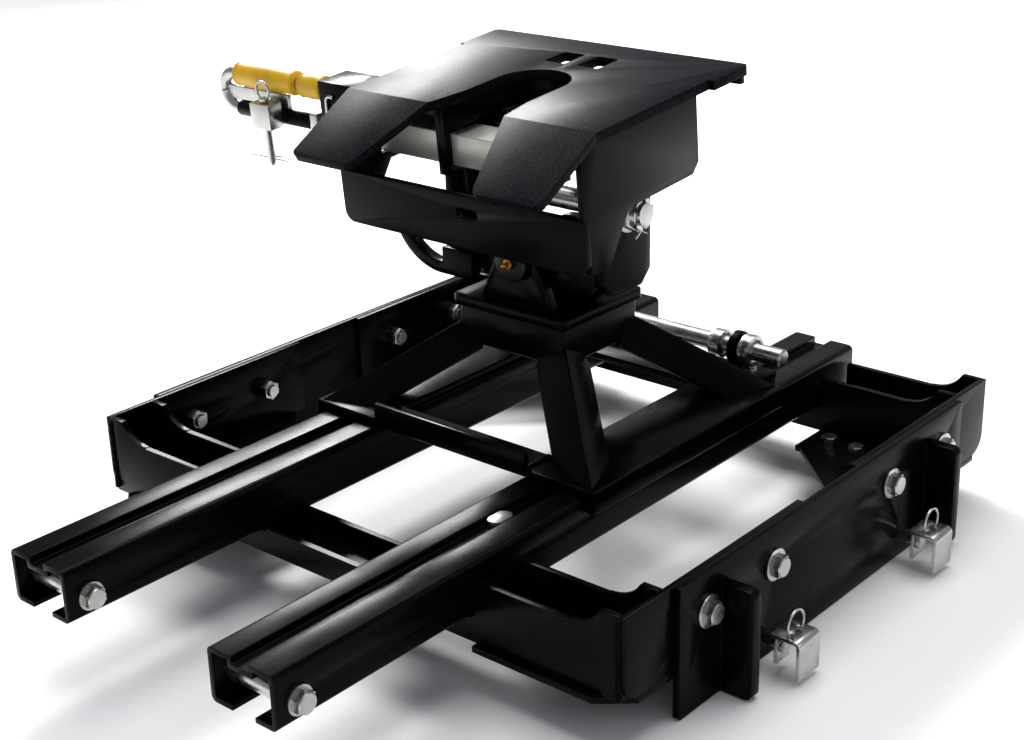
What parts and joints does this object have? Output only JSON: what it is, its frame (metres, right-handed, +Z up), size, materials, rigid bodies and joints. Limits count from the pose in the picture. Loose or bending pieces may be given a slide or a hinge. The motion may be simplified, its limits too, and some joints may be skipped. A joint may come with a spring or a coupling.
{
  "type": "fifth wheel hitch",
  "caption": "Fifth wheel hitch: a tilting head with a throat and a sliding lock bar, on a carriage that slides along two rails of a bed-mounted base frame.",
  "frame": {"origin": "middle of the slide rails' length, midway between the side plates, at the height of the side plates' lower edges", "axes": "+X to the passenger side, +Y forward to the cab, +Z up"},
  "size_m": [0.7726, 0.85, 0.4672],
  "materials": {
    "black_powder_coat": "semi-gloss black powder coat with a fine texture",
    "zinc_plate": "bright zinc plating",
    "yellow_grip": "dipped yellow vinyl",
    "brass": "brass"
  },
  "bodies": {
    "base_frame": {"slide_rails": "black_powder_coat", "travel_stop": "zinc_plate", "rail_end_bolts": "zinc_plate", "rail_end_sleeves": "zinc_plate", "cross_channels": "black_powder_coat", "arm_end_plates": "black_powder_coat", "gusset_plates": "black_powder_coat", "gusset_bolts": "zinc_plate", "gusset_nuts": "zinc_plate", "side_plates": "black_powder_coat", "foot_lugs": "black_powder_coat", "side_plate_bolts": "zinc_plate", "side_plate_washers": "zinc_plate", "hex_nuts": "zinc_plate"},
    "carriage": {"side_members": "black_powder_coat", "crossbars": "black_powder_coat", "carriage_legs": "black_powder_coat", "pedestal_box": "black_powder_coat", "pedestal_cap": "black_powder_coat", "roll_ears": "black_powder_coat", "shaft_brackets": "black_powder_coat", "roll_pin": "zinc_plate", "roll_pin_nut": "zinc_plate", "grease_fitting": "brass"},
    "rock_shaft": {"rock_shaft": "zinc_plate", "shaft_collars": "zinc_plate"},
    "lock_pin_left": {"lock_pin_left": "zinc_plate"},
    "lock_pin_right": {"lock_pin_right": "zinc_plate"},
    "yoke": {"yoke_saddle": "black_powder_coat", "yoke_ears": "black_powder_coat", "yoke_strap": "black_powder_coat", "pitch_pin": "zinc_plate", "pitch_washers": "zinc_plate", "castle_nut": "zinc_plate", "cotter_pin": "zinc_plate"},
    "head": {"top_plate": "black_powder_coat", "side_walls": "black_powder_coat", "entry_ramps": "black_powder_coat", "throat_collar": "black_powder_coat", "kingpin_seat": "black_powder_coat", "pivot_tabs": "black_powder_coat", "bar_guides": "black_powder_coat", "rear_cross_plate": "black_powder_coat", "wing_bracket": "black_powder_coat"},
    "lock_bar": {"lock_bar": "zinc_plate", "handle_loop": "zinc_plate", "handle_sleeve": "black_powder_coat", "handle_link": "zinc_plate", "handle_grips": "yellow_grip", "pin_keeper": "zinc_plate"},
    "safety_pin": {"safety_pin": "zinc_plate", "safety_clip": "zinc_plate"},
    "pull_pin_rear_left": {"pull_pin_rear_left": "zinc_plate", "pin_handle_rear_left": "zinc_plate"},
    "pull_pin_rear_right": {"pull_pin_rear_right": "zinc_plate", "pin_handle_rear_right": "zinc_plate"},
    "pull_pin_front_left": {"pull_pin_front_left": "zinc_plate", "pin_handle_front_left": "zinc_plate"},
    "pull_pin_front_right": {"pull_pin_front_right": "zinc_plate", "pin_handle_front_right": "zinc_plate"}
  },
  "joints": [
    {"name": "carriage_slide", "type": "slide", "parent": "base_frame", "child": "carriage", "axis": [0, -1, 0], "range_m": [0, 0.254]},
    {"name": "rock_shaft_turn", "type": "hinge", "parent": "carriage", "child": "rock_shaft", "pos_m": [0, 0.279, 0.154], "axis": [1, 0, 0], "range_deg": [0, 60]},
    {"name": "lock_pin_left_drop", "type": "slide", "parent": "carriage", "child": "lock_pin_left", "axis": [0, 0, -1], "range_m": [0, 0.018]},
    {"name": "lock_pin_right_drop", "type": "slide", "parent": "carriage", "child": "lock_pin_right", "axis": [0, 0, -1], "range_m": [0, 0.018]},
    {"name": "yoke_roll", "type": "hinge", "parent": "carriage", "child": "yoke", "pos_m": [0, 0.109, 0.285], "axis": [0, 1, 0], "range_deg": [-8, 8]},
    {"name": "head_pitch", "type": "hinge", "parent": "yoke", "child": "head", "pos_m": [0, 0.109, 0.342], "axis": [1, 0, 0], "range_deg": [-15, 8]},
    {"name": "lock_bar_slide", "type": "slide", "parent": "head", "child": "lock_bar", "axis": [-1, 0, 0], "range_m": [0, 0.095]},
    {"name": "safety_pin_lift", "type": "slide", "parent": "lock_bar", "child": "safety_pin", "axis": [0, -0.0837, 0.9965], "range_m": [0, 0.03]},
    {"name": "pull_pin_rear_left_out", "type": "slide", "parent": "base_frame", "child": "pull_pin_rear_left", "axis": [-1, 0, 0], "range_m": [0, 0.03]},
    {"name": "pull_pin_rear_right_out", "type": "slide", "parent": "base_frame", "child": "pull_pin_rear_right", "axis": [1, 0, 0], "range_m": [0, 0.03]},
    {"name": "pull_pin_front_left_out", "type": "slide", "parent": "base_frame", "child": "pull_pin_front_left", "axis": [-1, 0, 0], "range_m": [0, 0.03]},
    {"name": "pull_pin_front_right_out", "type": "slide", "parent": "base_frame", "child": "pull_pin_front_right", "axis": [1, 0, 0], "range_m": [0, 0.03]}
  ],
  "couplings": [
    {"joint": "lock_pin_left_drop", "follows": "rock_shaft_turn", "m_per_rad": 0.017189},
    {"joint": "lock_pin_right_drop", "follows": "rock_shaft_turn", "m_per_rad": 0.017189}
  ]
}
